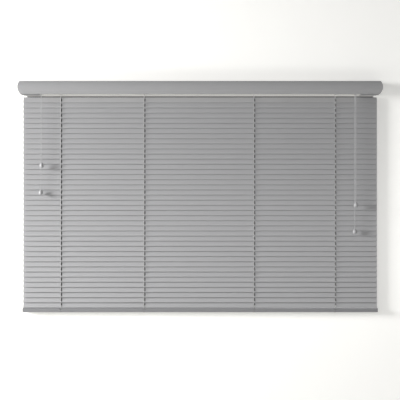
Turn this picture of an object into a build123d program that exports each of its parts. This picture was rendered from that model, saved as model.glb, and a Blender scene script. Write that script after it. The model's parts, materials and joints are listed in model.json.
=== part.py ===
from build123d import *
from math import cos, pi, radians, sin, tan
import os

# A wooden venetian blind, closed, in millimetres.
# X runs along the blind, minus Y faces the room, Z is up.
# The origin is the middle of the top fixing face of the centre bracket.

# Slats
slat_count = 41
slat_length = 1484.0
slat_width = 25.0
slat_thickness = 2.5
slat_chamfer = 0.7
slat_pitch = 21.5
closed_tilt = 66.0
rout_length = 16.5
rout_width = 7.0
rout_offset = 1.5
first_slat_drop = 22.3

# Ladders
ladder_shares = (-0.394, -0.1585, 0.1524, 0.3816)
string_radius = 0.5
string_gap = 0.15
rung_width = 1.0
rung_thickness = 0.8
rung_side_gap = 0.3
rung_overhang = 0.3
string_pin_radius = 0.9

# Headrail
headrail_shortness = 2.0
headrail_sheet = 1.0
headrail_lip = 5.0
headrail_side_room = 1.6
screw_room = 7.0
ladder_slot_width = 5.0
ladder_slot_room = 1.5

# Tilt rod, drums and cradles
rod_side = 5.5
rod_end_length = 14.0
bore_gap = 0.1
hub_radius = 5.0
hub_left_length = 8.5
hub_right_length = 9.0
drum_plate_gap = 0.7
drum_plate_thickness = 3.0
drum_boss_radius = 7.0
drum_tip_radius = 2.2
turning_gap = 0.05
cradle_base_thickness = 2.0
cradle_base_length = 26.0
cradle_wall = 2.0
cradle_wall_width = 18.0
cradle_window_width = 11.0
cradle_window_height = 6.0
cradle_side_gap = 0.3

# Tilter
tilter_room = 7.6
gear_teeth = 8
gear_thickness = 3.5
worm_pitch = 6.0
worm_pitch_radius = 4.0
worm_addendum = 1.6
worm_dedendum = 1.9
worm_thread_share = 0.33
worm_turns = 3.0
gear_tip_share = 0.11
gear_root_share = 0.31
mesh_gap = 0.3
flank_angle = 20.0
spool_radius = 2.4
spool_flange_radius = 4.2
spool_flange_thickness = 0.5
spool_groove_width = 2.0
tilter_wall = 2.0
tilter_half_length = 9.0
tilter_rear_end = 16.5
tilter_wall_top = 8.0
rod_hole_gap = 0.4
shaft_window_gap = 0.9

# Cords and tassels
cord_radius = 0.7
cord_sides = 6
cord_rear_room = 2.0
cord_slat_gap = 1.0
cord_pass_gap = 0.3
cord_valance_room = 2.1
lift_cord_offset = 1.0
lift_run_room = 6.0
lift_run_places = (-3.4, -1.7, 1.7, 0.0)
lift_down_offsets = (-2.9, -1.3, 2.0, 0.4)
lift_shift_length = 13.0
tassel_radius = 8.5
tassel_length = 22.0
tassel_neck_radius = 3.4
tassel_foot_radius = 5.6
tassel_shoulder_share = 0.36
tassel_hip_share = 0.86
tassel_bore_radius = 1.7
tassel_bore_depth = 9.0
tilt_tassel_tops = (-339.4, -452.1)
lift_tassel_tops = (-503.9, -615.2)

# Cord lock
lock_room = 23.0
lock_half_length = 12.0
lock_wall = 2.0
lock_rear_end = 8.0
lock_wall_top_room = 8.0
lock_window_half = 5.2
anvil_front_room = 4.0
anvil_length = 6.0
cord_guide_gap = 0.2
guide_thickness = 1.2
guide_side_room = 0.7
guide_turn_gap = 0.3
pawl_axle_radius = 1.5
pawl_hub_radius = 3.0
pawl_back = 6.0
pawl_rise = 11.0
pawl_nose_width = 3.0
pawl_side_gap = 0.4
pawl_cord_gap = 0.4

# Valance
valance_extra = 35.0
valance_height = 54.0
valance_thickness = 14.0
valance_top_drop = 1.0
valance_return_depth = 57.0
valance_bulge_share = 0.463
valance_top_set_share = 0.56
valance_bottom_set_share = 0.78
valance_groove_drop = 13.0
valance_groove_height = 3.0
valance_groove_depth = 4.0

# Brackets
bracket_sheet = 1.5
bracket_length = 70.0
bracket_gap = 0.3
bracket_hole_radius = 2.25
bracket_hole_spacing = 30.0
arm_width = 24.0
arm_tip_gap = 1.0
pad_height = 4.0
pad_drop = 46.0
centre_bracket_length = 44.0
centre_web_inset = 0.4
centre_foot_thickness = 1.5

# Bottom rail
rail_extra = 4.0
rail_depth = 28.0
rail_height = 16.5
rail_round = 3.0
rail_gap = 1.6
rail_hole_gap = 0.5
notch_inner = 3.0
notch_left_room = 0.9
notch_right_room = 0.4
tail_share = 0.72
notch_depth_share = 0.765
notch_mouth_share = 0.43
notch_flat_reach = 7.7
button_radius = 7.0
button_thickness = 3.0
button_recess = 2.0
button_gap = 0.05

# Every cut runs past its faces by this much.
overrun = 5.0


def block(low_x, high_x, low_y, high_y, low_z, high_z):
    """A box between two corners."""
    size = (high_x - low_x, high_y - low_y, high_z - low_z)
    middle = ((low_x + high_x) / 2, (low_y + high_y) / 2, (low_z + high_z) / 2)
    return Pos(*middle) * Box(*size)


def bar_x(radius, low_x, high_x, y, z):
    """A round bar along X."""
    return Pos((low_x + high_x) / 2, y, z) * Rot(0, 90, 0) * Cylinder(radius, high_x - low_x)


def bar_y(radius, low_y, high_y, x, z):
    """A round bar along Y."""
    return Pos(x, (low_y + high_y) / 2, z) * Rot(90, 0, 0) * Cylinder(radius, high_y - low_y)


def bar_z(radius, low_z, high_z, x, y):
    """A round bar along Z."""
    return Pos(x, y, (low_z + high_z) / 2) * Cylinder(radius, high_z - low_z)


def prism_x(points, low_x, high_x):
    """A prism along X over a polygon of (y, z) points."""
    outline = Polyline(*[(low_x, y, z) for y, z in points], close=True)
    return extrude(make_face(outline), amount=high_x - low_x, dir=(1, 0, 0))


def cord(points, radius):
    """A plain cord of flat sides through the points."""
    path = Polyline(*points)
    section = Plane(origin=path @ 0, z_dir=path % 0) * RegularPolygon(radius, cord_sides)
    return sweep(section, path=path, transition=Transition.RIGHT)


def write(name, solids):
    """One STEP file for one named piece, or for a group of like pieces."""
    shape = solids[0] if len(solids) == 1 else Compound(children=list(solids))
    shape.label = name
    export_step(shape, "parts/" + name + ".step")


# Sizes that follow from the driving ones.
ladder_places = [share * slat_length for share in ladder_shares]
tilt_cos = cos(radians(closed_tilt))
tilt_sin = sin(radians(closed_tilt))
edge_reach = slat_width / 2 - slat_chamfer
string_reach = edge_reach + (slat_thickness / 2 * tilt_sin + string_radius + string_gap) / tilt_cos
string_y = string_reach * tilt_cos
string_z = string_reach * tilt_sin
drum_reach = string_reach + drum_tip_radius
headrail_inner = drum_reach + headrail_side_room
headrail_half = headrail_inner + headrail_sheet
headrail_height = 2 * headrail_half + headrail_lip
headrail_top = -screw_room
headrail_floor = headrail_top - headrail_height + headrail_sheet
headrail_bottom = headrail_floor - headrail_sheet
headrail_end = (slat_length - headrail_shortness) / 2
axis_z = headrail_top - headrail_height / 2
tilter_place = -(headrail_end - bracket_length - tilter_room)
lock_place = headrail_end - bracket_length - lock_room
lift_down_places = [lock_place + offset for offset in lift_down_offsets]
slat_axes = [headrail_bottom - first_slat_drop - slat_pitch * k for k in range(slat_count)]
slat_fall = slat_width / 2 * tilt_sin + (slat_thickness / 2 - slat_chamfer) * tilt_cos
rail_top = slat_axes[-1] - slat_fall - rail_gap
rail_bottom = rail_top - rail_height
cord_rear_y = -max(headrail_half + cord_rear_room, slat_width / 2 + tassel_radius + cord_slat_gap)
cord_front_y = cord_rear_y - tassel_radius - cord_radius - cord_pass_gap
valance_back = cord_front_y - cord_valance_room
valance_front = valance_back - valance_thickness
valance_half = (slat_length + valance_extra) / 2
valance_top = -valance_top_drop
valance_bottom = valance_top - valance_height
bracket_inner = headrail_half + bracket_gap
bracket_outer = bracket_inner + bracket_sheet
gear_pitch_radius = gear_teeth * worm_pitch / (2 * pi)
worm_z = axis_z - gear_pitch_radius - worm_pitch_radius
shaft_radius = worm_pitch_radius - worm_dedendum
cradle_top = headrail_floor + cradle_base_thickness
lift_run_z = headrail_floor + lift_run_room

os.makedirs("parts", exist_ok=True)

# Headrail: a bent channel, open at the top, with slots for the ladders and windows for the cords.
headrail = block(-headrail_end, headrail_end, -headrail_half, headrail_half, headrail_bottom, headrail_top)
headrail -= block(
    -headrail_end - overrun,
    headrail_end + overrun,
    -headrail_inner,
    headrail_inner,
    headrail_floor,
    headrail_top - headrail_sheet,
)
headrail -= block(
    -headrail_end - overrun,
    headrail_end + overrun,
    -headrail_inner + headrail_lip,
    headrail_inner - headrail_lip,
    headrail_floor,
    headrail_top + overrun,
)
slot_half = string_reach + string_radius + ladder_slot_room
for x in ladder_places:
    headrail -= block(
        x - ladder_slot_width / 2,
        x + ladder_slot_width / 2,
        -slot_half,
        slot_half,
        headrail_bottom - overrun,
        headrail_floor + headrail_sheet,
    )
headrail -= bar_y(
    shaft_radius + shaft_window_gap,
    -headrail_half - overrun,
    -headrail_inner + headrail_sheet,
    tilter_place,
    worm_z,
)
guide_left = min(lift_down_places) - cord_radius - guide_side_room
guide_right = max(lift_down_places) + cord_radius + guide_side_room
guide_top = lift_run_z - cord_radius - cord_guide_gap
headrail -= block(
    guide_left - guide_side_room,
    guide_right + guide_side_room,
    -headrail_half - overrun,
    -headrail_inner + headrail_sheet,
    guide_top - guide_thickness - guide_side_room,
    lift_run_z + cord_radius + guide_side_room,
)
write("headrail", [headrail])

# Brackets: a box round each headrail end, and a hanger under the lips at the middle.
arm_top = valance_top - valance_groove_drop
arm_front = valance_back - valance_groove_depth + arm_tip_gap
brackets = []
for side in (-1, 1):
    near = headrail_end - bracket_length
    far = headrail_end + bracket_gap + bracket_sheet
    low, high = sorted((side * near, side * far))
    box = block(low, high, -bracket_outer, bracket_outer, headrail_bottom - bracket_sheet, 0)
    low, high = sorted((side * (near - overrun), side * (far - bracket_sheet)))
    box -= block(low, high, -bracket_inner, bracket_inner, headrail_bottom, -bracket_sheet)
    middle = side * (near + far) / 2
    box += block(
        middle - arm_width / 2,
        middle + arm_width / 2,
        arm_front,
        -bracket_outer + bracket_sheet / 2,
        arm_top - bracket_sheet,
        arm_top,
    )
    box += block(
        middle - arm_width / 2,
        middle + arm_width / 2,
        valance_back,
        -bracket_outer + bracket_sheet / 2,
        -pad_drop - pad_height,
        -pad_drop,
    )
    for step in (-1, 1):
        hole_x = middle + step * bracket_hole_spacing / 2
        box -= bar_z(bracket_hole_radius, -bracket_sheet - overrun, overrun, hole_x, 0)
        box -= bar_y(
            bracket_hole_radius,
            bracket_inner - overrun,
            bracket_outer + overrun,
            hole_x,
            axis_z,
        )
    brackets.append(box)
centre_half = centre_bracket_length / 2
web_outer = headrail_inner - headrail_lip - centre_web_inset
lip_under = headrail_top - headrail_sheet
hanger = block(-centre_half, centre_half, -bracket_outer, bracket_outer, -bracket_sheet, 0)
for side in (-1, 1):
    low, high = sorted((side * web_outer, side * (web_outer - bracket_sheet)))
    hanger += block(-centre_half, centre_half, low, high, lip_under - centre_foot_thickness, 0)
    low, high = sorted((side * (headrail_inner - bracket_sheet), side * (web_outer - bracket_sheet)))
    hanger += block(-centre_half, centre_half, low, high, lip_under - centre_foot_thickness, lip_under)
hanger += block(
    -arm_width / 2,
    arm_width / 2,
    -bracket_outer,
    -bracket_inner,
    arm_top - bracket_sheet,
    0,
)
hanger += block(
    -arm_width / 2,
    arm_width / 2,
    arm_front,
    -bracket_inner,
    arm_top - bracket_sheet,
    arm_top,
)
for step in (-1, 1):
    hole_x = step * bracket_hole_spacing / 2
    hanger -= bar_z(bracket_hole_radius, -bracket_sheet - overrun, overrun, hole_x, 0)
brackets.append(hanger)
write("mounting_brackets", brackets)

# Valance: one moulding with a round face, carried round two mitred returns.
# A groove at the back takes the bracket arms.
return_end = valance_front + valance_return_depth
board_inner = valance_half - valance_thickness
board = block(
    -valance_half - overrun,
    valance_half + overrun,
    valance_front - overrun,
    return_end,
    valance_bottom,
    valance_top,
)
board -= block(
    -board_inner,
    board_inner,
    valance_back,
    return_end + overrun,
    valance_bottom - overrun,
    valance_top + overrun,
)
bulge_z = valance_top - valance_height * valance_bulge_share
top_set = valance_thickness * valance_top_set_share
bottom_set = valance_thickness * valance_bottom_set_share
front_face = ThreePointArc(
    (0, valance_front + top_set, valance_top),
    (0, valance_front, bulge_z),
    (0, valance_front + bottom_set, valance_bottom),
)
front_rest = Polyline(
    (0, valance_front + bottom_set, valance_bottom),
    (0, return_end + overrun, valance_bottom),
    (0, return_end + overrun, valance_top),
    (0, valance_front + top_set, valance_top),
)
front_outline = make_face(front_face.edges() + front_rest.edges())
board &= extrude(front_outline, amount=valance_half + overrun, dir=(1, 0, 0), both=True)
left_face = ThreePointArc(
    (-valance_half + top_set, 0, valance_top),
    (-valance_half, 0, bulge_z),
    (-valance_half + bottom_set, 0, valance_bottom),
)
right_face = ThreePointArc(
    (valance_half - bottom_set, 0, valance_bottom),
    (valance_half, 0, bulge_z),
    (valance_half - top_set, 0, valance_top),
)
under_line = Line(left_face @ 1, right_face @ 0)
upper_line = Line(right_face @ 1, left_face @ 0)
side_edges = left_face.edges() + under_line.edges() + right_face.edges() + upper_line.edges()
side_outline = make_face(side_edges)
side_reach = valance_return_depth + valance_height
board &= extrude(side_outline, amount=side_reach, dir=(0, 1, 0), both=True)
board -= block(
    -board_inner,
    board_inner,
    valance_back - valance_groove_depth,
    valance_back + overrun,
    arm_top - valance_groove_height,
    arm_top,
)
write("valance", [board])

# Tilt rod: square steel through the gear and all four drums.
rod_low = tilter_place - rod_end_length
rod_high = ladder_places[-1] + rod_end_length
half_side = rod_side / 2
rod = block(rod_low, rod_high, -half_side, half_side, axis_z - half_side, axis_z + half_side)
write("tilt_rod", [rod])
bore_half = half_side + bore_gap

# Tilt drums: a hub on the rod with a front and a rear arm, at the slats' own angle.
drums = []
for x in ladder_places:
    plate_low = x + string_radius + drum_plate_gap
    plate_high = plate_low + drum_plate_thickness
    drum = bar_x(hub_radius, x - hub_left_length, x + hub_right_length, 0, axis_z)
    drum += bar_x(drum_boss_radius, plate_low, plate_high, 0, axis_z)
    arm = block(plate_low, plate_high, -string_reach, string_reach, -drum_tip_radius, drum_tip_radius)
    for side in (-1, 1):
        arm += bar_x(drum_tip_radius, plate_low, plate_high, side * string_reach, 0)
    for side in (-1, 1):
        pin_hole = string_pin_radius + bore_gap
        arm -= bar_x(pin_hole, plate_low - overrun, plate_high + overrun, side * string_reach, 0)
    drum += Pos(0, 0, axis_z) * Rot(closed_tilt, 0, 0) * arm
    drum -= block(
        x - hub_left_length - overrun,
        x + hub_right_length + overrun,
        -bore_half,
        bore_half,
        axis_z - bore_half,
        axis_z + bore_half,
    )
    drums.append(drum)
write("tilt_drums", drums)

# Drum cradles: a base on the headrail floor and two walls that carry the hub.
cradles = []
cradle_half = headrail_inner - cradle_side_gap
for x in ladder_places:
    low_x = x - cradle_base_length / 2
    high_x = x + cradle_base_length / 2
    cradle = block(low_x, high_x, -cradle_half, cradle_half, headrail_floor, cradle_top)
    cradle -= block(
        x - ladder_slot_width / 2,
        x + ladder_slot_width / 2,
        -slot_half,
        slot_half,
        headrail_floor - overrun,
        cradle_top + overrun,
    )
    walls = ((x - hub_left_length, x - hub_left_length + cradle_wall),)
    walls += ((x + hub_right_length - cradle_wall, x + hub_right_length),)
    for wall_low, wall_high in walls:
        half = cradle_wall_width / 2
        wall = block(wall_low, wall_high, -half, half, headrail_floor, axis_z)
        window = cradle_window_width / 2
        wall -= block(
            wall_low - overrun,
            wall_high + overrun,
            -window,
            window,
            cradle_top,
            cradle_top + cradle_window_height,
        )
        wall -= bar_x(hub_radius + turning_gap, wall_low - overrun, wall_high + overrun, 0, axis_z)
        cradle += wall
    cradles.append(cradle)
write("drum_cradles", cradles)

# Tilter housing: an open box with bearings for the worm and room for the rod.
tilter_low = tilter_place - tilter_half_length
tilter_high = tilter_place + tilter_half_length
tilter_front = -headrail_inner + cradle_side_gap
tilter_top = axis_z + tilter_wall_top
housing = block(tilter_low, tilter_high, tilter_front, tilter_rear_end, headrail_floor, tilter_top)
housing -= block(
    tilter_low + tilter_wall,
    tilter_high - tilter_wall,
    tilter_front + tilter_wall,
    tilter_rear_end - tilter_wall,
    headrail_floor + tilter_wall,
    tilter_top + overrun,
)
rod_hole = half_side * 2**0.5 + rod_hole_gap
housing -= bar_x(rod_hole, tilter_low - overrun, tilter_high + overrun, 0, axis_z)
housing -= bar_y(
    shaft_radius + turning_gap,
    tilter_front - overrun,
    tilter_rear_end + overrun,
    tilter_place,
    worm_z,
)
write("tilter_housing", [housing])

# Worm: a right-hand thread on a shaft, with a two-groove cord spool at the room end.
groove_half = spool_groove_width / 2
spool_low = cord_front_y - groove_half - spool_flange_thickness
spool_high = cord_rear_y + groove_half + spool_flange_thickness
core_radius = spool_radius - cord_radius
thread_length = worm_pitch * worm_turns
thread_start = -(worm_turns / 2 + 1 / 4) * worm_pitch
crest_radius = worm_pitch_radius + worm_addendum
pitch_half = worm_pitch * worm_thread_share / 2
crest_half = pitch_half - worm_addendum * tan(radians(flank_angle))
sink_radius = shaft_radius - worm_addendum / 4
sink_half = pitch_half + (worm_pitch_radius - sink_radius) * tan(radians(flank_angle))
helix = Helix(pitch=worm_pitch, height=thread_length, radius=worm_pitch_radius)
thread_outline = Polyline(
    (sink_radius, 0, -sink_half),
    (crest_radius, 0, -crest_half),
    (crest_radius, 0, crest_half),
    (sink_radius, 0, sink_half),
    close=True,
)
thread = sweep(make_face(thread_outline), path=helix, is_frenet=True)
thread = Pos(tilter_place, thread_start, worm_z) * Rot(-90, 0, 0) * thread
worm = bar_y(shaft_radius, spool_high, tilter_rear_end, tilter_place, worm_z)
worm += thread
worm += bar_y(core_radius, spool_low, spool_high, tilter_place, worm_z)
flanges = ((spool_low, spool_low + spool_flange_thickness),)
flanges += ((cord_front_y + groove_half, cord_rear_y - groove_half),)
flanges += ((spool_high - spool_flange_thickness, spool_high),)
for low, high in flanges:
    worm += bar_y(spool_flange_radius, low, high, tilter_place, worm_z)
write("tilter_worm", [worm])

# Gear on the rod, in mesh with the worm below it.
gear_tip = gear_pitch_radius + worm_addendum
gear_root = gear_pitch_radius - worm_addendum - mesh_gap
tooth_angle = 2 * pi / gear_teeth
points = []
for k in range(gear_teeth):
    middle = (k + 1 / 2) * tooth_angle - pi / 2
    root_turn = tooth_angle * gear_root_share
    tip_turn = tooth_angle * gear_tip_share * gear_pitch_radius / gear_tip
    for radius, turn in (
        (gear_root, -root_turn),
        (gear_tip, -tip_turn),
        (gear_tip, tip_turn),
        (gear_root, root_turn),
    ):
        points.append((radius * cos(middle + turn), axis_z + radius * sin(middle + turn)))
half = gear_thickness / 2
gear = prism_x(points, tilter_place - half, tilter_place + half)
gear -= block(
    tilter_place - half - overrun,
    tilter_place + half + overrun,
    -bore_half,
    bore_half,
    axis_z - bore_half,
    axis_z + bore_half,
)
write("tilter_gear", [gear])

# Cord lock: a frame on the headrail floor, an anvil under the cords and guides out to the room.
lock_low = lock_place - lock_half_length
lock_high = lock_place + lock_half_length
lock_front = -headrail_inner + cradle_side_gap
pawl_y = -pawl_back
pawl_z = lift_run_z + pawl_rise
lock_top = pawl_z + lock_wall_top_room
lock = block(lock_low, lock_high, lock_front, lock_rear_end, headrail_floor, headrail_floor + lock_wall)
for low, high in ((lock_low, lock_low + lock_wall), (lock_high - lock_wall, lock_high)):
    lock += block(low, high, lock_front, lock_rear_end, headrail_floor, lock_top)
lock -= block(
    lock_low - overrun,
    lock_low + lock_wall + overrun,
    -lock_window_half,
    lock_window_half,
    headrail_floor + lock_wall,
    lift_run_z + lock_window_half,
)
lock -= bar_x(pawl_axle_radius + turning_gap, lock_low - overrun, lock_high + overrun, pawl_y, pawl_z)
anvil_low = lock_front + anvil_front_room
lock += block(
    lock_low,
    lock_high,
    anvil_low,
    anvil_low + anvil_length,
    headrail_floor,
    guide_top,
)
guides = ((guide_left, cord_rear_y + cord_radius + guide_turn_gap),)
split = (sorted(lift_down_places)[1] + sorted(lift_down_places)[2]) / 2
guides += ((split, cord_front_y + cord_radius + guide_turn_gap),)
for left, front in guides:
    lock += block(left, guide_right, front, anvil_low, guide_top - guide_thickness, guide_top)
write("cord_lock", [lock])

# Pawl: turns on an axle between the lock's walls, its nose just over the cords.
nose_z = lift_run_z + cord_radius + pawl_cord_gap
nose_y = anvil_low + anvil_length / 2
pawl = bar_x(pawl_axle_radius, lock_low, lock_high, pawl_y, pawl_z)
pawl_low = lock_low + lock_wall + pawl_side_gap
pawl_high = lock_high - lock_wall - pawl_side_gap
pawl += bar_x(pawl_hub_radius, pawl_low, pawl_high, pawl_y, pawl_z)
pawl += prism_x(
    [
        (pawl_y, pawl_z + pawl_axle_radius),
        (nose_y - pawl_nose_width / 2, nose_z),
        (nose_y + pawl_nose_width / 2, nose_z),
        (pawl_y, pawl_z - pawl_axle_radius),
    ],
    pawl_low,
    pawl_high,
)
write("cord_lock_pawl", [pawl])

# Slats, with the ladder rung under each of the four places, all turned to the closed angle.
half_width = slat_width / 2
half_thick = slat_thickness / 2
outline = [
    (-half_width + slat_chamfer, -half_thick),
    (half_width - slat_chamfer, -half_thick),
    (half_width, -half_thick + slat_chamfer),
    (half_width, half_thick - slat_chamfer),
    (half_width - slat_chamfer, half_thick),
    (-half_width + slat_chamfer, half_thick),
    (-half_width, half_thick - slat_chamfer),
    (-half_width, -half_thick + slat_chamfer),
]
flat_slat = prism_x(outline, -slat_length / 2, slat_length / 2)
rung_reach = string_reach + rung_overhang
rungs = []
for x in ladder_places:
    flat_slat -= block(
        x + rout_offset - rout_width / 2,
        x + rout_offset + rout_width / 2,
        -rout_length / 2,
        rout_length / 2,
        -half_thick - overrun,
        half_thick + overrun,
    )
    rung_low = x + string_radius + rung_side_gap
    rungs.append(
        block(
            rung_low,
            rung_low + rung_width,
            -rung_reach,
            rung_reach,
            -half_thick - rung_thickness,
            -half_thick,
        )
    )
for k, z in enumerate(slat_axes):
    place = Pos(0, 0, z) * Rot(closed_tilt, 0, 0)
    write("slat_%02d" % (k + 1), [place * piece for piece in [flat_slat] + rungs])

# Ladder strings: each hangs from a pin in its drum arm, and its tail enters a notch in the rail.
tail_low = rail_top - rail_height * tail_share
pin_length = drum_plate_gap + drum_plate_thickness
for name, side, pin_z, low_z in (
    ("ladder_front_strings", -1, axis_z - string_z, tail_low),
    ("ladder_rear_strings", 1, axis_z + string_z, tail_low + 2 * string_z),
):
    strings = []
    for x in ladder_places:
        y = side * string_y
        string = Pos(x, y, low_z) * extrude(RegularPolygon(string_radius, cord_sides), pin_z - low_z)
        pin = extrude(RegularPolygon(string_pin_radius, cord_sides), pin_length + 2 * string_radius)
        string += Pos(x - string_radius, y, pin_z) * Rot(0, 90, 0) * pin
        strings.append(string)
    write(name, strings)

# Lift cords: from the rail up through the slats, along the headrail, through the lock and down.
lift_low = rail_bottom + button_recess
lift_cords = []
for x, run_y, down_x in zip(ladder_places, lift_run_places, lift_down_places):
    start_x = x - lift_cord_offset
    front = down_x > split
    down_y = cord_front_y if front else cord_rear_y
    end_z = lift_tassel_tops[0 if front else 1] - tassel_bore_depth
    route = [
        (start_x, 0, lift_low),
        (start_x, 0, lift_run_z),
        (start_x + lift_shift_length, run_y, lift_run_z),
        (down_x, run_y, lift_run_z),
        (down_x, down_y, lift_run_z),
        (down_x, down_y, end_z),
    ]
    lift_cords.append(cord(route, cord_radius))
write("lift_cords", lift_cords)

# Bottom rail: holes for the lift cords, notches for the ladder tails, and a button under each hole.
rail_half = rail_depth / 2
rail_end = (slat_length + rail_extra) / 2
rail = block(-rail_end, rail_end, -rail_half, rail_half, rail_bottom, rail_top)
rail = fillet(rail.edges().filter_by(Axis.X), rail_round)
buttons = []
notch_floor = rail_top - rail_height * notch_depth_share
notch_mouth = rail_top - rail_height * notch_mouth_share
for x in ladder_places:
    hole_x = x - lift_cord_offset
    rail -= bar_z(cord_radius + rail_hole_gap, rail_bottom - overrun, rail_top + overrun, hole_x, 0)
    rail -= bar_z(
        button_radius + button_gap,
        rail_bottom - overrun,
        rail_bottom + button_recess,
        hole_x,
        0,
    )
    notch_low = x - notch_left_room
    notch_high = x + string_radius + rung_side_gap + rung_width + notch_right_room
    for side in (-1, 1):
        notch = [
            (side * notch_inner, rail_top + overrun),
            (side * notch_inner, notch_floor),
            (side * notch_flat_reach, notch_floor),
            (side * rail_half, notch_mouth),
            (side * (rail_half + overrun), notch_mouth),
            (side * (rail_half + overrun), rail_top + overrun),
        ]
        rail -= prism_x(notch, notch_low, notch_high)
    top = rail_bottom + button_recess
    buttons.append(bar_z(button_radius, top - button_thickness, top, hole_x, 0))
write("bottom_rail", [rail] + buttons)

# Tilt cords and their tassels: one cord leaves each side of the spool.
tassel_outline = Polyline(
    (0, 0, 0),
    (tassel_neck_radius, 0, 0),
    (tassel_radius, 0, -tassel_length * tassel_shoulder_share),
    (tassel_radius, 0, -tassel_length * tassel_hip_share),
    (tassel_foot_radius, 0, -tassel_length),
    (0, 0, -tassel_length),
    close=True,
)
tassel = revolve(make_face(tassel_outline), axis=Axis.Z)
tassel -= bar_z(tassel_bore_radius, -tassel_bore_depth, overrun, 0, 0)
tilt_cords = []
places = (
    ("tilt_tassel_a", tilter_place + spool_radius, cord_front_y, tilt_tassel_tops[0]),
    ("tilt_tassel_b", tilter_place - spool_radius, cord_rear_y, tilt_tassel_tops[1]),
)
for name, x, y, top in places:
    low = top - tassel_bore_depth
    tilt_cords.append(Pos(x, y, low) * extrude(RegularPolygon(cord_radius, cord_sides), worm_z - low))
    write(name, [Pos(x, y, top) * tassel])
write("tilt_cords", tilt_cords)

# Lift tassels: one on each pair of lift cords.
pulls = sorted(lift_down_places)
lift_tassels = [
    Pos((pulls[2] + pulls[3]) / 2, cord_front_y, lift_tassel_tops[0]) * tassel,
    Pos((pulls[0] + pulls[1]) / 2, cord_rear_y, lift_tassel_tops[1]) * tassel,
]
write("lift_tassels", lift_tassels)
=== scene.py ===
"""A grey wooden venetian blind, closed. Every piece is in metres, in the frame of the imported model."""

import json
import math

import bmesh
import bpy
import numpy as np
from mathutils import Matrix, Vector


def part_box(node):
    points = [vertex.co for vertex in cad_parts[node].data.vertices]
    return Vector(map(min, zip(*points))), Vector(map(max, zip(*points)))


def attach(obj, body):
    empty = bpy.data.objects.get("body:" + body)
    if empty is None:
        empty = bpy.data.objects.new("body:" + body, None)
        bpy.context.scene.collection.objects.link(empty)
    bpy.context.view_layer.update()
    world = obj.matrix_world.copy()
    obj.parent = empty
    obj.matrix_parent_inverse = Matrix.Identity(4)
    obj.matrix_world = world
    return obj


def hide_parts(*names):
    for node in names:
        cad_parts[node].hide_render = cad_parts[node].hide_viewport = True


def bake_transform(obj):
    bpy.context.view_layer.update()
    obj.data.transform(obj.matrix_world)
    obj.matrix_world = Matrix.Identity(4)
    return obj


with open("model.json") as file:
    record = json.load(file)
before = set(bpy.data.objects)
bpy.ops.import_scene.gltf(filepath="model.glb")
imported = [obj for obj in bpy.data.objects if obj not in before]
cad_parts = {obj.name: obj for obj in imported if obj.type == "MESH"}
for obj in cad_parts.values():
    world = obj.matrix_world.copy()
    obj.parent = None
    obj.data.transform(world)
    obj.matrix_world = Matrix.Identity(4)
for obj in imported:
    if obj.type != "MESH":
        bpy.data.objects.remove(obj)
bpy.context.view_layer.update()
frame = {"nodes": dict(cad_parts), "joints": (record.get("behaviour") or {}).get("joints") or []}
nodes = frame["nodes"]
joint_place = {joint["name"]: joint.get("pos_m") for joint in frame["joints"]}
root = "headrail_frame"
millimetre = 0.001

# Headrail: a channel rolled from steel strip, open at the top, with slots for the ladders and cords.
# White powder coat, baked on, leaves a fine orange peel and softens every bent edge.
headrail_edge = 0.22 * millimetre
peel_width = 0.9 * millimetre
peel_depth = 0.02 * millimetre
weld_distance = 0.002 * millimetre
flat_angle = math.radians(1)
sharp_angle = math.radians(35)


def linear(code, alpha=1.0):
    """Linear colour of an sRGB hex code: c/12.92 below 0.04045, ((c + 0.055)/1.055)^2.4 above."""
    srgb = np.array([int(code[k:k + 2], 16) for k in (0, 2, 4)]) / 255
    light = np.where(srgb <= 0.04045, srgb / 12.92, ((srgb + 0.055) / 1.055) ** 2.4)
    return (*light, alpha)


def add(tree, kind, inputs=None, **settings):
    """A new node with its settings, and each input set to a value or linked to another node's output."""
    node = tree.nodes.new(kind)
    for name, value in settings.items():
        setattr(node, name, value)
    for name, value in (inputs or {}).items():
        if isinstance(value, bpy.types.NodeSocket):
            tree.links.new(value, node.inputs[name])
        else:
            node.inputs[name].default_value = value
    return node


def new_material(name, **sockets):
    """A material with its tree and shader, and the shader's constant values set on its own sockets."""
    material = bpy.data.materials.new(name)
    material.use_nodes = True
    shader = material.node_tree.nodes["Principled BSDF"]
    for socket, value in sockets.items():
        shader.inputs[socket.replace("_", " ")].default_value = value
    return material, material.node_tree, shader


def link_inputs(tree, shader, **outputs):
    """Links a node's output to each named socket of the shader."""
    for socket, output in outputs.items():
        tree.links.new(output, shader.inputs[socket.replace("_", " ")])


def mix_colours(tree, share, deep, pale):
    """The output of a mix from deep to pale by a share; a colour mix has them at inputs 6 and 7."""
    colours = {"Factor": share, 6: linear(deep), 7: linear(pale)}
    return add(tree, "ShaderNodeMix", colours, data_type="RGBA").outputs[2]


def grained(name, pale, deep, cell, depth, rough, metal=0.0, stretch=(1, 1, 1), detail=3.0):
    """A surface whose colour, roughness and relief follow one noise of the given cell size in metres.

    colour = mix(deep, pale, n), roughness = rough[0] + (rough[1] - rough[0]) n, height = depth n.
    """
    material, tree, shader = new_material(name, Metallic=metal)
    place = add(tree, "ShaderNodeTexCoord")
    scale = tuple(1 / (cell * along) for along in stretch)
    turned = add(tree, "ShaderNodeMapping", {"Vector": place.outputs["Object"], "Scale": scale})
    noise = add(
        tree,
        "ShaderNodeTexNoise",
        {"Vector": turned.outputs["Vector"], "Scale": 1.0, "Detail": detail, "Roughness": 0.55},
    )
    gloss = add(
        tree,
        "ShaderNodeMapRange",
        {"Value": noise.outputs[0], "To Min": rough[0], "To Max": rough[1]},
    )
    relief = add(
        tree,
        "ShaderNodeBump",
        {"Height": noise.outputs[0], "Distance": depth, "Strength": 0.6},
    )
    link_inputs(
        tree,
        shader,
        Base_Color=mix_colours(tree, noise.outputs[0], deep, pale),
        Roughness=gloss.outputs["Result"],
        Normal=relief.outputs["Normal"],
    )
    return material


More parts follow.
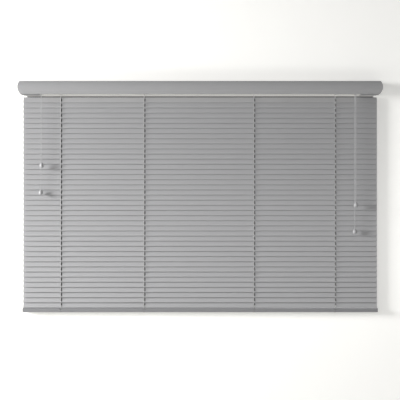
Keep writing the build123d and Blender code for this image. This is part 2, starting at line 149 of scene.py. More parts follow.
def show(name, mesh, material, body):
    """A finished piece at the origin, with its place in its mesh, that rides on a body."""
    piece = bpy.data.objects.new(name, mesh)
    bpy.context.scene.collection.objects.link(piece)
    mesh.materials.append(material)
    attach(piece, body)
    return piece


def round_over(piece, width, segments):
    """A round of the given width on each sharp edge of a piece."""
    bevel = piece.modifiers.new("round over", "BEVEL")
    bevel.width = width
    bevel.segments = segments
    bevel.limit_method = "ANGLE"
    bevel.angle_limit = sharp_angle


def shade(mesh, angle):
    """Smooth faces, with a crease at each edge that turns more than the angle."""
    mesh.polygons.foreach_set("use_smooth", np.ones(len(mesh.polygons), bool))
    mesh.set_sharp_from_angle(angle=angle)


def rounded_copy(node, edge, material, body):
    """The solid's own faces, merged and made flat again, with a small round on each sharp edge."""
    mesh = nodes[node].data.copy()
    mesh.materials.clear()
    if "custom_normal" in mesh.attributes:
        mesh.attributes.remove(mesh.attributes["custom_normal"])
    shape = bmesh.new()
    shape.from_mesh(mesh)
    bmesh.ops.remove_doubles(shape, verts=shape.verts, dist=weld_distance)
    bmesh.ops.dissolve_limit(shape, angle_limit=flat_angle, verts=shape.verts, edges=shape.edges)
    shape.to_mesh(mesh)
    shape.free()
    shade(mesh, sharp_angle)
    piece = show(node + "_finished", mesh, material, body)
    round_over(piece, edge, segments=2)
    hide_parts(node)
    return piece


powder_coat = grained(
    "white powder coat on rolled steel",
    pale="FAF8F4",
    deep="F2F0EA",
    cell=peel_width,
    depth=peel_depth,
    rough=(0.34, 0.46),
)
rounded_copy("headrail", headrail_edge, powder_coat, root)

# Brackets: two boxes round the ends of the headrail and a hanger at its middle, with arms for the valance.
# Pressed from 1.5 mm steel sheet, powder coated grey.
bracket_edge = 0.3 * millimetre
grey_coat = grained(
    "grey powder coat on pressed steel",
    pale="A6A6A7",
    deep="9C9C9E",
    cell=peel_width,
    depth=peel_depth,
    rough=(0.4, 0.52),
)
rounded_copy("mounting_brackets", bracket_edge, grey_coat, root)

# Tilt rod: square zinc-plated steel, drawn, so that its streaks run along it.
# It turns the gear's motion into a turn of every drum.
rod_edge = 0.4 * millimetre
zinc_plate = grained(
    "zinc plate on drawn steel",
    pale="C9CACC",
    deep="A9ABAF",
    cell=0.35 * millimetre,
    depth=0.004 * millimetre,
    rough=(0.24, 0.42),
    metal=1.0,
    stretch=(60, 1, 1),
)
rounded_copy("tilt_rod", rod_edge, zinc_plate, "tilt_shaft")

# Drums and their cradles, and the tilter's housing: injection-moulded nylon, milky white.
# The mould leaves a faint spark texture and a small round at every edge.
nylon_edge = 0.25 * millimetre
nylon = grained(
    "moulded white nylon",
    pale="DCDAD2",
    deep="D0CDC4",
    cell=0.6 * millimetre,
    depth=0.012 * millimetre,
    rough=(0.42, 0.55),
)
rounded_copy("tilt_drums", nylon_edge, nylon, "tilt_shaft")
rounded_copy("drum_cradles", nylon_edge, nylon, root)
rounded_copy("tilter_housing", nylon_edge, nylon, root)

# Tilter worm and gear: moulded grey acetal, slick where the teeth run.
# The worm's thread is the solid's own surface; the gear's tooth edges are eased.
gear_edge = 0.15 * millimetre
acetal = grained(
    "moulded grey acetal",
    pale="7C7D80",
    deep="6E6F73",
    cell=0.8 * millimetre,
    depth=0.008 * millimetre,
    rough=(0.3, 0.4),
)
worm = nodes["tilter_worm"]
worm.data.materials.clear()
worm.data.materials.append(acetal)
rounded_copy("tilter_gear", gear_edge, acetal, "tilt_shaft")

# Cord lock: a pressed frame, and a knurled steel pawl that drops on the cords and holds them.
# The frame is coated like the brackets, and the pawl is zinc plated like the rod.
lock_edge = 0.2 * millimetre
rounded_copy("cord_lock", lock_edge, grey_coat, root)
pawl_zinc = grained(
    "zinc plate on a cast pawl",
    pale="BDBEC1",
    deep="9FA1A5",
    cell=0.7 * millimetre,
    depth=0.02 * millimetre,
    rough=(0.3, 0.5),
    metal=1.0,
)
rounded_copy("cord_lock_pawl", lock_edge, pawl_zinc, "cord_lock_pawl")

# Valance: a wooden moulding with a rounded front, mitred round two short returns and clipped to the arms.
# Satin grey paint over basswood: the grain still lifts the paint a little, in lines along the board.
grain_width = 1.6 * millimetre
grain_depth = 0.03 * millimetre
grain_stretch = (45, 1, 1)
valance_low, valance_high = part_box("valance")
valance_thickness = 14.0 * millimetre
top_set = 0.56 * valance_thickness
bulge_share = 0.463
face_sweep = math.radians(60)
face_stations = 97
eased_edge = 0.9 * millimetre
groove_top = 14.0 * millimetre
groove_height = 3.0 * millimetre
groove_depth = 4.0 * millimetre
double_distance = 0.001 * millimetre
sliver_length = 0.0005 * millimetre


def painted_wood(name, pale, deep):
    """Satin paint on wood: a noise drawn out along X, as the grain runs, gives colour, gloss and relief."""
    return grained(
        name,
        pale,
        deep,
        cell=grain_width,
        depth=grain_depth,
        rough=(0.4, 0.52),
        stretch=grain_stretch,
        detail=4.0,
    )


def mesh_of(name, points, faces, sharp=sharp_angle):
    """A mesh of points and faces, its doubles merged, faces turned outward and shaded by angle."""
    mesh = bpy.data.meshes.new(name)
    mesh.from_pydata(points, [], faces)
    shape = bmesh.new()
    shape.from_mesh(mesh)
    bmesh.ops.remove_doubles(shape, verts=shape.verts, dist=double_distance)
    bmesh.ops.dissolve_degenerate(shape, edges=shape.edges, dist=sliver_length)
    bmesh.ops.recalc_face_normals(shape, faces=shape.faces)
    shape.to_mesh(mesh)
    shape.free()
    shade(mesh, sharp)
    return mesh


def grid_faces(rows, columns, wrap=False, start=0):
    """The quads of a grid of points, row by row; wrap joins the last column to the first."""
    row = np.arange(rows - 1)[:, None]
    column = np.arange(columns if wrap else columns - 1)[None, :]
    beside = (column + 1) % columns
    corners = (row * columns + column, row * columns + beside)
    corners += ((row + 1) * columns + beside, (row + 1) * columns + column)
    return (np.stack(corners, axis=-1).reshape(-1, 4) + start).tolist()


def end_faces(rows, columns):
    """The first and the last row of a grid of points, each as one face."""
    return [list(range(columns)), list(range((rows - 1) * columns, rows * columns))]


high = valance_high.z
low = valance_low.z
groove_high = -groove_top
groove_low = groove_high - groove_height
bulge_drop = bulge_share * (high - low)
bulge_z = high - bulge_drop
face_radius = (bulge_drop**2 + top_set**2) / (2 * top_set)
face_heights = bulge_z + face_radius * np.sin(np.linspace(-face_sweep, face_sweep, face_stations))
face_heights = face_heights[(face_heights > low) & (face_heights < high)]
face_heights = np.concatenate([[low], face_heights, [high]])
face_back = valance_thickness - face_radius
face_outs = face_back + np.sqrt(face_radius**2 - (face_heights - bulge_z) ** 2)
valance_section = np.concatenate([
    [(0, low)],
    np.stack([face_outs, face_heights], axis=1),
    [(0, high)],
    [(0, groove_high), (groove_depth, groove_high)],
    [(groove_depth, groove_low), (0, groove_low)],
])
inner_x = valance_high.x - valance_thickness
inner_y = valance_low.y + valance_thickness
corner_path = np.array([
    (-inner_x, valance_high.y, -1, 0),
    (-inner_x, inner_y, -1, -1),
    (inner_x, inner_y, 1, -1),
    (inner_x, valance_high.y, 1, 0),
])
corner_place, corner_outward = corner_path[:, None, :2], corner_path[:, None, 2:]
level = corner_place + corner_outward * valance_section[None, :, :1]
height = np.broadcast_to(valance_section[None, :, 1:], level.shape[:2] + (1,))
points = np.concatenate([level, height], axis=2).reshape(-1, 3)
grid_size = (len(corner_path), len(valance_section))
faces = grid_faces(*grid_size, wrap=True) + end_faces(*grid_size)
# The valance's grey is a little darker than the slats': painted shade on the same paint, for its upright
# front.
valance_wood_painted_shade = painted_wood("satin grey paint on a basswood moulding", "A8A8A9", "A1A1A3")
valance = show("valance_finished", mesh_of("valance", points, faces), valance_wood_painted_shade, root)
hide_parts("valance")
round_over(valance, eased_edge, segments=3)

# Slats: thin basswood strips, planed, with eased edges and a slot routed through at each ladder.
# Painted on all sides in a satin grey; each turns about its own long axis on the ladder rungs.
slat_width = 25.0 * millimetre
slat_thickness = 2.5 * millimetre
slat_edge = 0.95 * millimetre
edge_steps = 4
rout_length = 16.5 * millimetre
rout_width = 7.0 * millimetre
rout_offset = 1.5 * millimetre
rout_margin = 3.0 * millimetre
rout_side_steps = 8
rout_end_steps = 8
closed_tilt = math.radians(66)
slat_names = sorted(name for name in nodes if name.startswith("slat_"))
slat_axes = np.array([joint_place[name + "_tilt"][2] for name in slat_names])
slat_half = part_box(slat_names[0])[1].x
ladder_shares = np.array([-0.394, -0.1585, 0.1524, 0.3816])
ladder_places = ladder_shares * 2 * slat_half
slat_wood = painted_wood("satin grey paint on basswood slats", "B2B2B3", "AAAAAC")


def arc(centre, radius, start, end, count):
    """Points on an arc: centre + radius (cos a, sin a), a from start to end in degrees."""
    angle = np.radians(np.linspace(start, end, count))
    return np.stack([centre[0] + radius * np.cos(angle), centre[1] + radius * np.sin(angle)], axis=1)


def slat_section():
    """The slat's outline across its width and thickness: a flat each side and a round at each corner."""
    half_thick = slat_thickness / 2
    side, rise = slat_width / 2 - slat_edge, half_thick - slat_edge
    flat = np.linspace(-side, side, rout_side_steps + 1)
    below = np.stack([flat, np.full(len(flat), -half_thick)], axis=1)
    above = np.stack([-flat, np.full(len(flat), half_thick)], axis=1)
    return np.concatenate([
        below,
        arc((side, -rise), slat_edge, 270, 360, edge_steps + 1)[1:],
        arc((side, rise), slat_edge, 0, 90, edge_steps + 1)[:-1],
        above,
        arc((-side, rise), slat_edge, 90, 180, edge_steps + 1)[1:],
        arc((-side, -rise), slat_edge, 180, 270, edge_steps + 1)[:-1],
    ])


def rout_rings(place):
    """Points round a slot and round the box that holds it, in step, both as (x, across the slat).

    The slot is two half circles of its half width joined by straights; the box takes the slat's flat.
    """
    side = slat_width / 2 - slat_edge
    reach = rout_width / 2 + rout_margin
    up = np.linspace(-side, side, rout_side_steps + 1)[:-1]
    over = np.linspace(reach, -reach, rout_end_steps + 1)[:-1]
    box = np.concatenate([
        np.stack([np.full(rout_side_steps, reach), up], axis=1),
        np.stack([over, np.full(rout_end_steps, side)], axis=1),
        np.stack([np.full(rout_side_steps, -reach), -up], axis=1),
        np.stack([-over, np.full(rout_end_steps, -side)], axis=1),
    ])
    half_wide = rout_width / 2
    straight = rout_length / 2 - half_wide
    rise = np.linspace(-straight, straight, rout_side_steps + 1)[:-1]
    top = arc((0, straight), half_wide, 0, 180, rout_end_steps + 1)[:-1]
    slot = np.concatenate([
        np.stack([np.full(rout_side_steps, half_wide), rise], axis=1),
        top,
        np.stack([np.full(rout_side_steps, -half_wide), -rise], axis=1),
        -top,
    ])
    return slot + (place, 0), box + (place, 0)


def flat_slat():
    """One slat lying flat: its outline carried along X, with a ring of faces round each slot."""
    section = slat_section()
    reach = rout_width / 2 + rout_margin
    across = np.linspace(-reach, reach, rout_end_steps + 1)
    rout_places = ladder_places + rout_offset
    stations = [np.array([-slat_half, slat_half])] + [place + across for place in rout_places]
    stations = np.sort(np.concatenate(stations))
    count, ring = len(stations), len(section)
    points = np.empty((count, ring, 3))
    points[:, :, 0] = stations[:, None]
    points[:, :, 1:] = section[None]
    faces = np.array(grid_faces(count, ring, wrap=True)).reshape(count - 1, ring, 4)
    middles = (stations[1:] + stations[:-1]) / 2
    open_rows = np.min(np.abs(middles[:, None] - rout_places[None]), axis=1) < reach
    column = np.arange(ring)
    above_start = rout_side_steps + 1 + 2 * edge_steps
    open_below = column < rout_side_steps
    open_above = (column >= above_start) & (column < above_start + rout_side_steps)
    kept = ~(open_rows[:, None] & (open_below | open_above)[None, :])
    all_points = [points.reshape(-1, 3)]
    all_faces = faces[kept].tolist() + end_faces(count, ring)
    start = count * ring
    half_thick = slat_thickness / 2
    for place in rout_places:
        slot, box = rout_rings(place)
        loops = []
        for outline, side in ((box, 1), (slot, 1), (slot, -1), (box, -1)):
            loops.append(np.column_stack([outline, np.full(len(outline), side * half_thick)]))
        all_points.append(np.concatenate(loops))
        all_faces += grid_faces(len(loops), len(slot), wrap=True, start=start)
        start += len(loops) * len(slot)
    return np.concatenate(all_points), all_faces


def turned_to_place(points, axis_z):
    """Points of a flat slat turned about X to the closed angle and lifted to the slat's axis."""
    c, s = math.cos(closed_tilt), math.sin(closed_tilt)
    x, y, z = points.T
    return np.stack([x, y * c - z * s, y * s + z * c + axis_z], axis=1)


slat_points, slat_faces = flat_slat()
for name, axis_z in zip(slat_names, slat_axes):
    mesh = mesh_of(name, turned_to_place(slat_points, axis_z), slat_faces)
    piece = show(name + "_finished", mesh, slat_wood, name)
    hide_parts(name)

# Ladders: a front and a rear string at each place, and a pair of thin rungs under every slat.
# Pale grey polyester braid for the strings, knotted where each rung begins, and thread for the rungs in a
# dark grey that is painted shade, for the shade under the slats.
strand = 0.7 * millimetre
strand_depth = 0.05 * millimetre
string_radius = 0.62 * millimetre
knot_radius = 0.95 * millimetre
knot_length = 2.2 * millimetre
knot_stations = 7
pin_radius = 0.8 * millimetre
pin_reach = 4.2 * millimetre
rung_radius = 0.24 * millimetre
rung_offset = 1.06 * millimetre
rung_corner_share = 0.6
slant = (0.8, 0.36, 0.48)
cord_sharp = math.radians(60)
rung_sharp = math.radians(80)


def braided(name, pale, deep):
    """Braided polyester: small cells, one for each strand that shows, with painted shade darkening the gaps
    between them.
    """
    material, tree, shader = new_material(name, Roughness=0.75, Sheen_Weight=0.15)
    place = add(tree, "ShaderNodeTexCoord")
    cells = add(
        tree,
        "ShaderNodeTexVoronoi",
        {"Vector": place.outputs["Object"], "Scale": 1 / strand},
        feature="DISTANCE_TO_EDGE",
    )
    between = add(
        tree,
        "ShaderNodeMapRange",
        {"Value": cells.outputs["Distance"], "From Max": 0.16},
    )
    relief = add(
        tree,
        "ShaderNodeBump",
        {"Height": between.outputs["Result"], "Distance": strand_depth, "Strength": 0.6},
    )
    # The deep colour at the cell edges is painted shade in the gaps between the strands.
    colour = mix_colours(tree, between.outputs["Result"], deep, pale)
    link_inputs(tree, shader, Base_Color=colour, Normal=relief.outputs["Normal"])
    return material


def tube(path, radii, sides=8):
    """A round tube along a path: point + radius (n cos a + b sin a), with n and b square to the path.

    n is also square to a slant that no path follows. radii is one radius, or one for each point.
    """
    path = np.asarray(path, float)
    along = np.gradient(path, axis=0)
    along /= np.linalg.norm(along, axis=1)[:, None]
    normal = np.cross(along, slant)
    normal /= np.linalg.norm(normal, axis=1)[:, None]
    binormal = np.cross(along, normal)
    angle = np.linspace(0, 2 * np.pi, sides, endpoint=False)[None, :, None]
    ring = normal[:, None] * np.cos(angle) + binormal[:, None] * np.sin(angle)
    points = path[:, None] + np.asarray(radii, float).reshape(-1, 1, 1) * ring
    faces = grid_faces(len(path), sides, wrap=True) + end_faces(len(path), sides)
    return points.reshape(-1, 3), faces


def joined(parts):
    """Several sets of points and faces as one."""
    points, faces, start = [], [], 0
    for some_points, some_faces in parts:
        points.append(some_points)
        faces += [[corner + start for corner in face] for face in some_faces]
        start += len(some_points)
    return np.concatenate(points), faces


string_braid = braided("pale grey polyester ladder braid", "E6E6E5", "CACAC9")
# The rungs' dark grey is painted shade, standing for the shade they lie in under the slats.
rung_thread_painted_shade = braided("dark grey polyester thread, painted shade", "6A6A6B", "505052")
front_pin = np.array(joint_place["ladder_front_hang"]) - joint_place["tilt"]
string_reach = math.hypot(front_pin[1], front_pin[2])
swell = np.linspace(-1, 1, knot_stations)
knot_radii = string_radius + (knot_radius - string_radius) * np.sqrt(1 - swell**2)
string_radii = np.concatenate([[string_radius], np.tile(knot_radii, len(slat_axes)), [string_radius]])
for node, body, side in (
    ("ladder_front_strings", "ladder_front", -1),
    ("ladder_rear_strings", "ladder_rear", 1),
):
    y = side * string_reach * math.cos(closed_tilt)
    pin_z = joint_place[body + "_hang"][2]
    knots = slat_axes + side * string_reach * math.sin(closed_tilt)
    heights = (knots[:, None] - swell[None] * knot_length / 2).ravel()
    heights = np.concatenate([[pin_z], heights, [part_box(node)[0].z]])
    parts = []
    for x in ladder_places:
        path = np.column_stack([np.full(len(heights), x), np.full(len(heights), y), heights])
        parts.append(tube(path, string_radii))
        pin_path = np.linspace((x - string_radius, y, pin_z), (x + pin_reach, y, pin_z), 3)
        parts.append(tube(pin_path, pin_radius, sides=12))
    mesh = mesh_of(node, *joined(parts), sharp=cord_sharp)
    piece = show(node + "_finished", mesh, string_braid, body)
    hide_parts(node)

rim = slat_width / 2
under = -slat_thickness / 2 - rung_radius
corner = rung_corner_share * under
rung_across = np.array([-string_reach, -rim, slat_edge - rim, 0, rim - slat_edge, rim, string_reach])
rung_level = np.array([0, corner, under, under, under, corner, 0])
rung_aside = np.array([0, 1, 1, 1, 1, 1, 0])
for name, axis_z in zip(slat_names, slat_axes):
    parts = []
    for x in ladder_places:
        for offset in (rung_offset, rung_offset + 2 * rung_radius):
            path = np.column_stack([x + offset * rung_aside, rung_across, rung_level])
            parts.append(tube(turned_to_place(path, axis_z), rung_radius, sides=6))
    rungs = name.replace("slat", "rungs")
    mesh = mesh_of(rungs, *joined(parts), sharp=rung_sharp)
    show(rungs, mesh, rung_thread_painted_shade, name)

# Lift cords: each starts at a button under the rail, climbs through the slats and runs along the headrail.
# All four pass under the pawl to the front, where they hang down at the right, two to each tassel.
cord_radius = 0.7 * millimetre
cord_braid = braided("grey polyester cord", "C0C0C1", "A4A4A6")
lift_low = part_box("lift_cords")[0].z
lift_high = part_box("lift_cords")[1].z - cord_radius
lock_x = joint_place["cord_lock_pawl_lift"][0]
hang_y = {"front": -32.5056 * millimetre, "rear": -23.0056 * millimetre}
run_places = np.array([-3.4, -1.7, 1.7, 0.0]) * millimetre
down_places = lock_x + np.array([-2.9, -1.3, 2.0, 0.4]) * millimetre
cord_offset = 1.0 * millimetre
shift_length = 13.0 * millimetre
bend = 5.0 * millimetre
run_steps = 24


def nurbs_line(name, points, steps):
    """A curve of one open NURBS line of order 3 whose control points are the given points."""
    line = bpy.data.curves.new(name, "CURVE")
    line.dimensions = "3D"
    spline = line.splines.new("NURBS")
    spline.points.add(len(points) - 1)
    for point, place in zip(spline.points, points):
        point.co = (*place, 1)
    spline.order_u = 3
    spline.use_endpoint_u = True
    spline.resolution_u = steps
    return line


def smooth_route(points):
    """Points along the NURBS line whose control points are the route's points."""
    line = nurbs_line("route", points, run_steps)
    holder = bpy.data.objects.new("route", line)
    mesh = bpy.data.meshes.new_from_object(holder)
    found = np.empty(len(mesh.vertices) * 3)
    mesh.vertices.foreach_get("co", found)
    bpy.data.meshes.remove(mesh)
    bpy.data.objects.remove(holder)
    bpy.data.curves.remove(line)
    return found.reshape(-1, 3)


runs = []
for ladder_x, run_y, down_x in zip(ladder_places, run_places, down_places):
    x = ladder_x - cord_offset
    down_y = hang_y["front" if down_x > lock_x else "rear"]
    route = [
        (x, 0, lift_low),
        (x, 0, lift_low + bend),
        (x, 0, lift_high - 2 * bend),
        (x, 0, lift_high),
        (x + shift_length, run_y, lift_high),
        (x + shift_length + bend, run_y, lift_high),
        (down_x - 2 * bend, run_y, lift_high),
        (down_x, run_y, lift_high),
        (down_x, run_y - 2 * bend, lift_high),
        (down_x, down_y + bend, lift_high),
    ]
    runs.append(tube(smooth_route(route), cord_radius))
lift_mesh = mesh_of("lift_cord_runs", *joined(runs), sharp=cord_sharp)
lift_runs = show("lift_cord_runs", lift_mesh, cord_braid, root)
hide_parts("lift_cords")

# Lift tassels and the free cords that hang to them: turned beech, painted grey, drilled for cord and knot.
# The lathe leaves fine rings round each tassel, which the paint almost fills.
tassel_length = 22.0 * millimetre
tassel_radius = 8.5 * millimetre
tassel_shape = np.array([
    (0.0, 0.20),
    (0.02, 0.30),
    (0.06, 0.40),
    (0.14, 0.50),
    (0.24, 0.68),
    (0.36, 0.88),
    (0.5, 0.985),
    (0.62, 1.0),
    (0.76, 0.985),
    (0.87, 0.92),
    (0.95, 0.80),
    (0.985, 0.70),
    (1.0, 0.58),
    (1.0, 0.24),
])
tassel_bore = 9.0 * millimetre
foot_bore = 4.0 * millimetre
outline_stations = 53
tassel_sides = 40
lathe_ring = 0.55 * millimetre
lift_tops = {"front": -503.9 * millimetre, "rear": -615.2 * millimetre}
drop_steps = 8
turned_wood = grained(
    "satin grey paint on turned beech",
    pale="B6B6B7",
    deep="A8A8AA",
    cell=lathe_ring,
    depth=0.03 * millimetre,
    rough=(0.3, 0.42),
    stretch=(14, 14, 1),
)


def tassel_mesh(name, x, y, top):
    """The outline turned about the cord: (r cos a, r sin a, z), with the bores' walls and floors closed.

    The outline runs through the shape's points, each radius then averaged with its neighbours.
    """
    corners = np.arange(len(tassel_shape))
    fine = np.linspace(0, corners[-1], outline_stations)
    drop = np.interp(fine, corners, tassel_shape[:, 0]) * tassel_length
    radius = np.interp(fine, corners, tassel_shape[:, 1]) * tassel_radius
    neighbours = np.array([1, 4, 6, 4, 1]) / 16
    radius[2:-2] = np.convolve(radius, neighbours, mode="valid")
    foot = tassel_length - foot_bore
    drop = np.concatenate([[tassel_bore, tassel_bore], drop, [foot, foot]])
    radius = np.concatenate([[0, radius[0]], radius, [radius[-1], 0]])
    angle = np.linspace(0, 2 * np.pi, tassel_sides, endpoint=False)
    points = np.stack([
        x + radius[:, None] * np.cos(angle)[None],
        y + radius[:, None] * np.sin(angle)[None],
        np.broadcast_to(top - drop[:, None], (len(drop), tassel_sides)),
    ], axis=2)
    return mesh_of(name, points.reshape(-1, 3), grid_faces(len(drop), tassel_sides, wrap=True))


def free_cord(name, points):
    """A hanging cord as one open NURBS line with a round section."""
    line = nurbs_line(name, points, drop_steps)
    line.bevel_depth = cord_radius
    line.bevel_resolution = 2
    line.use_fill_caps = True
    line.materials.append(cord_braid)
    piece = bpy.data.objects.new(name, line)
    bpy.context.scene.collection.objects.link(piece)
    return piece


for name, places in (
    ("front", down_places[down_places > lock_x]),
    ("rear", down_places[down_places < lock_x]),
):
    mesh = tassel_mesh("lift_tassel_" + name, places.mean(), hang_y[name], lift_tops[name])
    show("lift_tassel_" + name, mesh, turned_wood, root)
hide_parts("lift_tassels")
for number, down_x in enumerate(down_places, 1):
    name = "front" if down_x > lock_x else "rear"
    down_y = hang_y[name]
    end_z = lift_tops[name] - tassel_bore
    drop = [
        (down_x, down_y + bend, lift_high),
        (down_x, down_y, lift_high),
        (down_x, down_y, lift_high - bend),
        (down_x, down_y, (lift_high + end_z) / 2),
        (down_x, down_y, end_z),
    ]
    piece = free_cord("lift_cord_drop_%d" % number, drop)
    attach(piece, root)

# Tilt cords: one leaves each side of the spool on the worm, and each ends in a tassel of its own.
# Pulling one turns the worm: one tassel goes down as the other comes up.
worm_x, _, worm_z = joint_place["worm_turn"]
spool_radius = 2.4 * millimetre
wrap_radius = 0.6 * millimetre
tilt_tops = {"a": -339.4 * millimetre, "b": -452.1 * millimetre}
cord_stations = 120
wrap_stations = 41
for name, side, y in (("a", 1, hang_y["front"]), ("b", -1, hang_y["rear"])):
    x = worm_x + side * spool_radius
    body = "tilt_tassel_" + name
    mesh = tassel_mesh(body, x, y, tilt_tops[name])
    tassel = show(body + "_finished", mesh, turned_wood, body)
    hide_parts(body)
    end_z = tilt_tops[name] - tassel_bore
    path = np.linspace((x, y, worm_z), (x, y, end_z), cord_stations)
    mesh = mesh_of("tilt_cord_" + name, *tube(path, cord_radius), sharp=cord_sharp)
    mesh.materials.append(cord_braid)
    piece = bpy.data.objects.new("tilt_cord_" + name, mesh)
    bpy.context.scene.collection.objects.link(piece)
    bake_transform(piece)
    if name == "a":
        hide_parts("tilt_cords")
wraps = []
for y in hang_y.values():
    angle = np.linspace(0, 2 * np.pi, wrap_stations)
    wind = np.column_stack([
        worm_x + spool_radius * np.cos(angle),
        np.full(wrap_stations, y),
        worm_z + spool_radius * np.sin(angle),
    ])
    wraps.append(tube(wind, wrap_radius))
wrap_mesh = mesh_of("tilt_cord_wraps", *joined(wraps), sharp=cord_sharp)
show("tilt_cord_wraps", wrap_mesh, cord_braid, "tilter_worm")

# Bottom rail: a thicker strip of the same painted wood, rounded on its long edges, in a darker grey that is
# painted shade.
# Moulded caps close the holes under it, where the lift cords are knotted.
rail_edge = 0.5 * millimetre
cap_radius = 7.0 * millimetre
cap_height = 3.0 * millimetre
touch = 0.01 * millimetre
# The rail's grey is darker than the slats': painted shade on the same paint, for the shade on its front
# face.
rail_wood_painted_shade = painted_wood("satin grey paint on a basswood rail", "8D8D8F", "868688")
rail = rounded_copy("bottom_rail", rail_edge, rail_wood_painted_shade, root)
cap_plastic = grained(
    "moulded grey cap",
    pale="9A9A9C",
    deep="8F8F92",
    cell=0.7 * millimetre,
    depth=0.01 * millimetre,
    rough=(0.35, 0.48),
)
rail.data.materials.append(cap_plastic)
corners = np.empty(len(rail.data.vertices) * 3)
rail.data.vertices.foreach_get("co", corners)
corners = corners.reshape(-1, 3)
hole_places = ladder_places - cord_offset
from_hole = np.hypot(corners[:, :1] - hole_places[None], corners[:, 1:2]).min(axis=1)
above_foot = corners[:, 2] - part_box("bottom_rail")[0].z
on_cap = (from_hole <= cap_radius + touch) & (above_foot <= cap_height + touch)
corner_of_loop = np.empty(len(rail.data.loops), np.int32)
rail.data.loops.foreach_get("vertex_index", corner_of_loop)
first_loop = np.empty(len(rail.data.polygons), np.int32)
rail.data.polygons.foreach_get("loop_start", first_loop)
face_on_cap = np.minimum.reduceat(on_cap[corner_of_loop].astype(np.int32), first_loop)
rail.data.polygons.foreach_set("material_index", face_on_cap)

# Stage: a plain pale floor, a pale wall at the brackets' back faces, and a dark card on it behind the slats.
# Wall and card are seen only from the front and don't shade the blind.
# The card is painted shade: a dark sheet, soft at its edges, that stands for the shade behind the closed
# slats and shows through the slots.
wall_gap = 0.5 * millimetre
shade_card_gap = 0.2 * millimetre
shade_card_overlap = 12.0 * millimetre
shade_card_rise = 25.0 * millimetre
shade_card_inset = 6.0 * millimetre
shade_card_fade = 12.0 * millimetre
floor_z = -1.46
wall_top = 3.0
stage_reach = 9.0


def plane(name, colour, glow, corners, one_sided):
    """One flat matt face through four corners, with a glow that only the camera sees.

    A one-sided face is clear from behind and casts no shade.
    """
    mesh = bpy.data.meshes.new(name)
    mesh.from_pydata(corners, [], [(0, 1, 2, 3)])
    piece = bpy.data.objects.new(name, mesh)
    bpy.context.scene.collection.objects.link(piece)
    paint, tree, shader = new_material(
        "matt " + name,
        Roughness=0.9,
        Base_Color=linear(colour),
        Emission_Color=linear(glow),
    )
    ray = add(tree, "ShaderNodeLightPath")
    link_inputs(tree, shader, Emission_Strength=ray.outputs["Is Camera Ray"])
    mesh.materials.append(paint)
    if one_sided:
        seen_from = add(tree, "ShaderNodeNewGeometry")
        clear = add(tree, "ShaderNodeBsdfTransparent")
        sides = {0: seen_from.outputs["Backfacing"], 1: shader.outputs["BSDF"], 2: clear.outputs["BSDF"]}
        either = add(tree, "ShaderNodeMixShader", sides)
        tree.links.new(either.outputs["Shader"], tree.nodes["Material Output"].inputs["Surface"])
        piece.visible_shadow = False
        piece.visible_diffuse = False
        piece.visible_glossy = False
    return piece


def upright(half, y, low, high):
    """The corners of an upright face square to Y, seen from minus Y."""
    return [(-half, y, low), (half, y, low), (half, y, high), (-half, y, high)]


wall_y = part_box("mounting_brackets")[1].y + wall_gap
plane("wall", "F2F1EE", "A0A09E", upright(stage_reach, wall_y, floor_z, wall_top), True)
shade_card_low = slat_axes[-1] - shade_card_overlap
shade_card_high = slat_axes[0] + shade_card_rise
shade_card_half = slat_half - shade_card_inset
shade_card_corners = upright(shade_card_half, wall_y - shade_card_gap, shade_card_low, shade_card_high)
# The card's near-black colour is painted shade, the shade behind the closed slats.
painted_shade_card = plane("painted_shade_card", "161617", "000000", shade_card_corners, True)
tree = painted_shade_card.data.materials[0].node_tree
either = tree.nodes["Mix Shader"]
clear_share = either.inputs[0].links[0].from_socket
# The card fades to clear at its edges, so that the painted shade ends softly, like a soft shadow.
place = add(tree, "ShaderNodeTexCoord")
along = add(tree, "ShaderNodeSeparateXYZ", {"Vector": place.outputs["Object"]})
for axis, middle, half in (
    ("X", 0.0, shade_card_half),
    ("Z", (shade_card_high + shade_card_low) / 2, (shade_card_high - shade_card_low) / 2),
):
    apart = add(tree, "ShaderNodeMath", {0: along.outputs[axis], 1: middle}, operation="SUBTRACT")
    distance = add(tree, "ShaderNodeMath", {0: apart.outputs[0]}, operation="ABSOLUTE")
    edge = add(
        tree,
        "ShaderNodeMapRange",
        {"Value": distance.outputs[0], "From Min": half - shade_card_fade, "From Max": half},
        interpolation_type="SMOOTHSTEP",
    )
    most = add(tree, "ShaderNodeMath", {0: clear_share, 1: edge.outputs["Result"]}, operation="MAXIMUM")
    clear_share = most.outputs[0]
tree.links.new(clear_share, either.inputs[0])
floor_sides = ((-1, -1), (1, -1), (1, 1), (-1, 1))
floor_corners = [(stage_reach * x, stage_reach * y, floor_z) for x, y in floor_sides]
plane("floor", "E9E8E5", "A0A0A0", floor_corners, False)

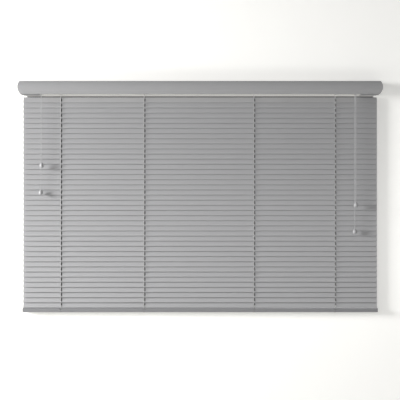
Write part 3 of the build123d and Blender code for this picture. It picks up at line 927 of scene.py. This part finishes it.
# Light and view: a large soft lamp far to the left, a broad weak one close in front, and one behind.
# A pale surround, brighter where it is seen or mirrored, fills in the rest.
# The camera faces the blind squarely, at the height of its middle.
key_power = 228
key_place = (-4.0, -1.85, 0.25)
key_size = (1.3, 1.3)
front_power = 2.95
front_distance = 0.7
front_share = 0.7
front_size = (3.0, 0.4)
back_power = 65
back_place = (1.8, 3.6, 1.2)
back_size = (3.0, 2.0)
surround_colour = linear("F4F4F4")
surround_strength = 0.13
view_distance = 4.2
view_width = 1.68
view_x = -0.0008
view_z = -0.4963
slat_middle = (slat_axes[0] + slat_axes[-1]) / 2
front_z = slat_axes[0] + front_share * (slat_axes[-1] - slat_axes[0])


def lamp(name, place, target, size, watts):
    """A flat lamp of a width and height at a place, turned to a target and not itself seen."""
    light = bpy.data.lights.new(name, "AREA")
    light.shape = "RECTANGLE"
    light.size, light.size_y = size
    light.energy = watts
    piece = bpy.data.objects.new(name, light)
    bpy.context.scene.collection.objects.link(piece)
    piece.location = place
    aim = np.array(target) - np.array(place)
    piece.rotation_mode = "QUATERNION"
    piece.rotation_quaternion = Vector(aim).to_track_quat("-Z", "Y")
    piece.visible_camera = False


lamp("key", key_place, (0, 0, slat_middle), key_size, key_power)
lamp("front fill", (0, -front_distance, front_z), (0, 0, front_z), front_size, front_power)
lamp("back fill", back_place, (0, 0, slat_middle), back_size, back_power)
world = bpy.data.worlds.new("pale surround")
bpy.context.scene.world = world
world.use_nodes = True
tree = world.node_tree
dim = tree.nodes["Background"]
dim.inputs["Color"].default_value = surround_colour
dim.inputs["Strength"].default_value = surround_strength
bright = add(tree, "ShaderNodeBackground", {"Color": surround_colour, "Strength": 1.0})
ray = add(tree, "ShaderNodeLightPath")
seen = ray.outputs["Is Camera Ray"]
for kind in ("Is Glossy Ray", "Is Transmission Ray"):
    either = add(tree, "ShaderNodeMath", {0: seen, 1: ray.outputs[kind]}, operation="MAXIMUM")
    seen = either.outputs[0]
mixed = add(tree, "ShaderNodeMixShader", {0: seen, 1: dim.outputs[0], 2: bright.outputs[0]})
tree.links.new(mixed.outputs["Shader"], tree.nodes["World Output"].inputs["Surface"])

camera_data = bpy.data.cameras.new("camera")
camera_data.lens = camera_data.sensor_width * view_distance / view_width
camera = bpy.data.objects.new("camera", camera_data)
bpy.context.scene.collection.objects.link(camera)
camera.location = (view_x, -view_distance, view_z)
camera.rotation_euler = (math.radians(90), 0, 0)
bpy.context.scene.camera = camera
bpy.context.scene.view_settings.view_transform = "Standard"
